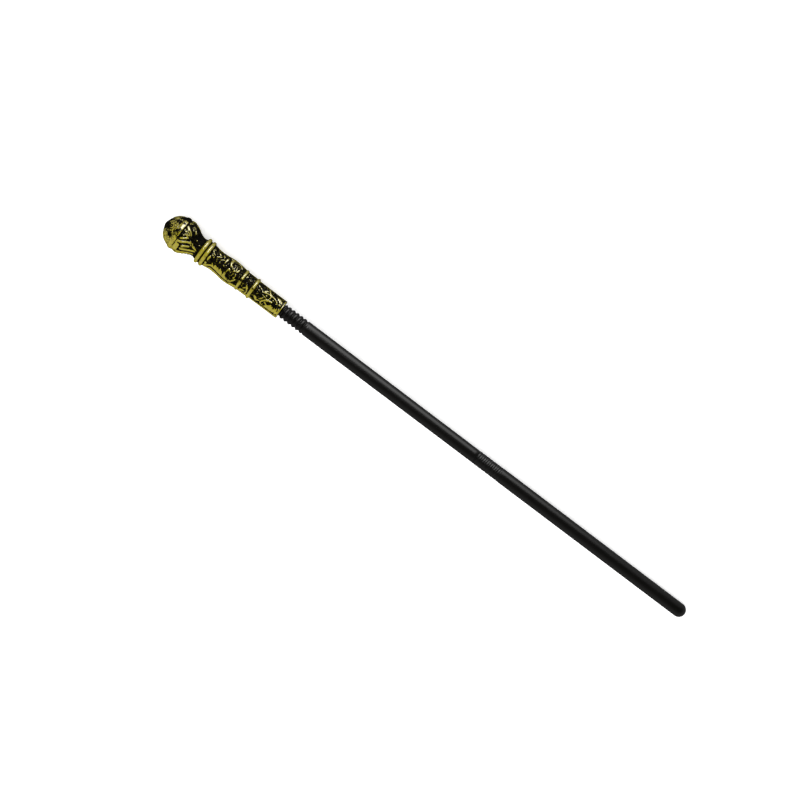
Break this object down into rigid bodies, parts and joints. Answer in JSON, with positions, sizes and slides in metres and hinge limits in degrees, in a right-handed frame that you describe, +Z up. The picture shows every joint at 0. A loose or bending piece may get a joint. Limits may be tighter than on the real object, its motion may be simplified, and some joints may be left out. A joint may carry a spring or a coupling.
{
  "type": "sceptre",
  "caption": "Ball-headed ceremonial sceptre with a carved, gold-rubbed black handle on a long plain black shaft with a round tip, lying flat.",
  "frame": {"origin": "middle of the length and width, at the height of the surface that the sceptre lies on", "axes": "+X along the sceptre from its ball to its round tip, +Z up as it lies; the shaft slopes about one degree down toward the tip"},
  "size_m": [0.8998, 0.051, 0.0507],
  "materials": {
    "gilt_plastic": "black moulded plastic with olive gold paint rubbed over its raised carving, glossy",
    "black_plastic": "black moulded plastic, satin"
  },
  "bodies": {
    "root": {"handle": "gilt_plastic", "upper_tube": "black_plastic", "lower_tube": "black_plastic"}
  },
  "joints": []
}
